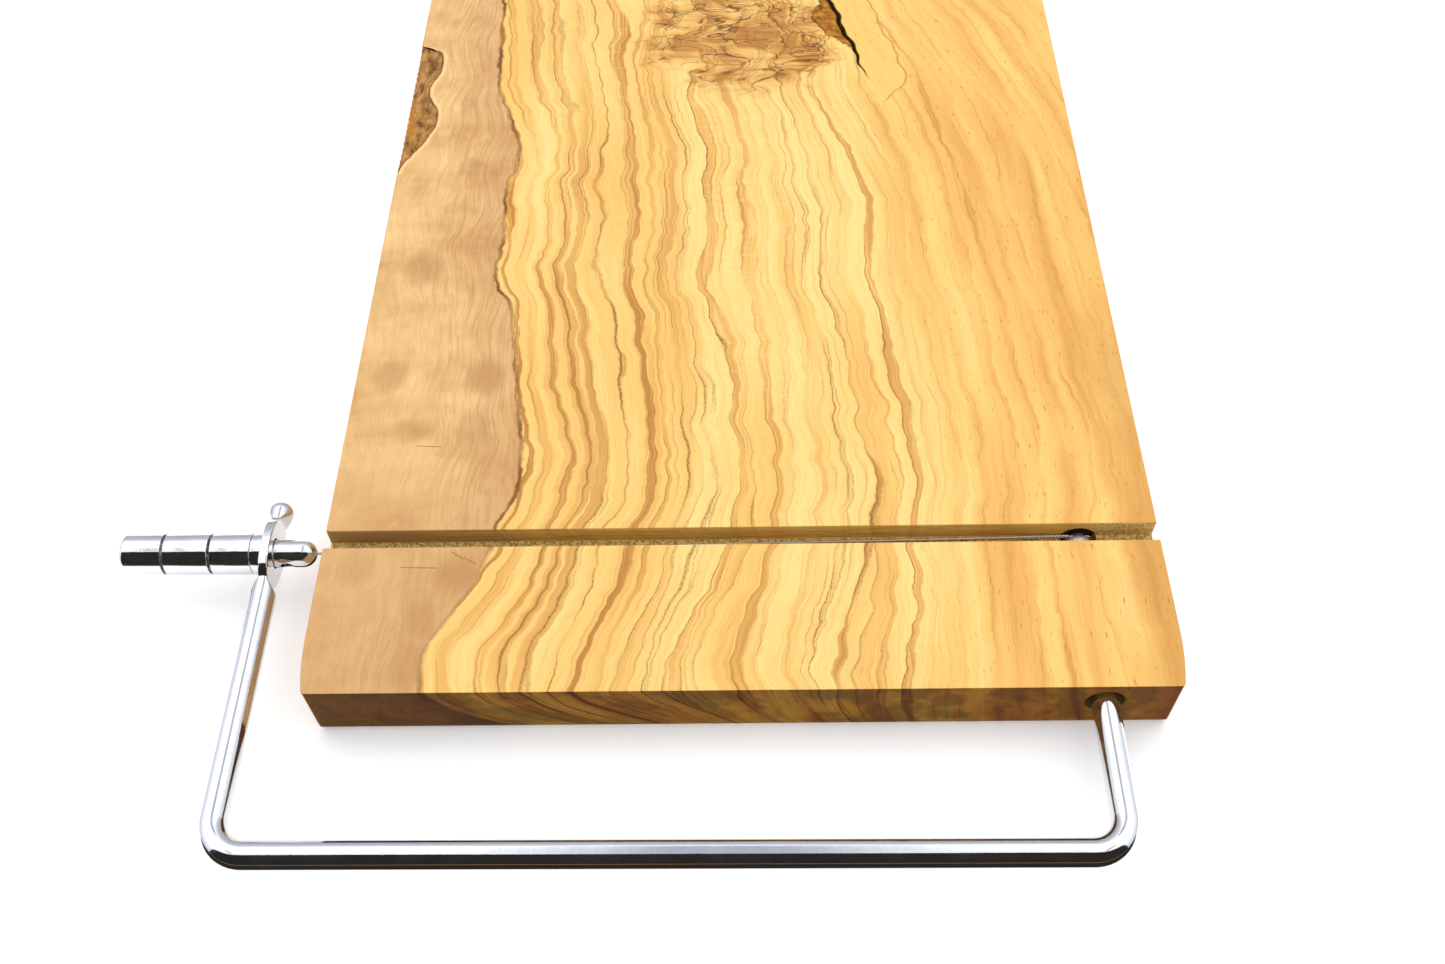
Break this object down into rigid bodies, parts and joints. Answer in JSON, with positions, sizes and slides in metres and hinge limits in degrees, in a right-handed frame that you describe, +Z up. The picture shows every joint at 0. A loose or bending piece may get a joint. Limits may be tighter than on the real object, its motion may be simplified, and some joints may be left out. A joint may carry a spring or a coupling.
{
  "type": "cheese wire cutter",
  "caption": "Rectangular wooden cheese board with a cross groove and a swinging round-rod bow whose cutting wire is tightened by a threaded handle.",
  "frame": {"origin": "middle of the board's flat underside, on the surface that the board rests on", "axes": "+Z up from the table; +Y along the board, away from the bow's crossbar; +X along the cutting wire, from the handle towards the bore that the bow turns in"},
  "size_m": [0.2492, 0.3385, 0.0196],
  "materials": {
    "oiled_wood": "sanded and oiled, strongly figured grain",
    "chromed_rod": "bright chrome plate on round rod",
    "chromed_turnings": "bright chrome plate on turned steel",
    "wire_steel": "drawn stainless wire"
  },
  "bodies": {
    "board": {"board": "oiled_wood"},
    "bow": {"bow": "chromed_rod", "thrust_collar": "chromed_turnings", "cutting_wire": "wire_steel"},
    "handle": {"handle": "chromed_turnings"},
    "stud": {"tension_stud": "chromed_turnings", "wire_ferrule": "wire_steel"}
  },
  "joints": [
    {"name": "bow_swing", "type": "hinge", "parent": "board", "child": "bow", "pos_m": [0.082, -0.13, 0.0113], "axis": [0, 1, 0], "range_deg": [0, 120]},
    {"name": "handle_turn", "type": "hinge", "parent": "bow", "child": "handle", "pos_m": [-0.11799, -0.10945, 0.01346], "axis": [-0.9999, 0, 0.0108], "range_deg": [0, 720]},
    {"name": "stud_slide", "type": "slide", "parent": "bow", "child": "stud", "axis": [0.9999, 0, -0.0108], "range_m": [0, 0.002]}
  ],
  "couplings": [
    {"joint": "stud_slide", "follows": "handle_turn", "m_per_rad": 0.00015915}
  ]
}
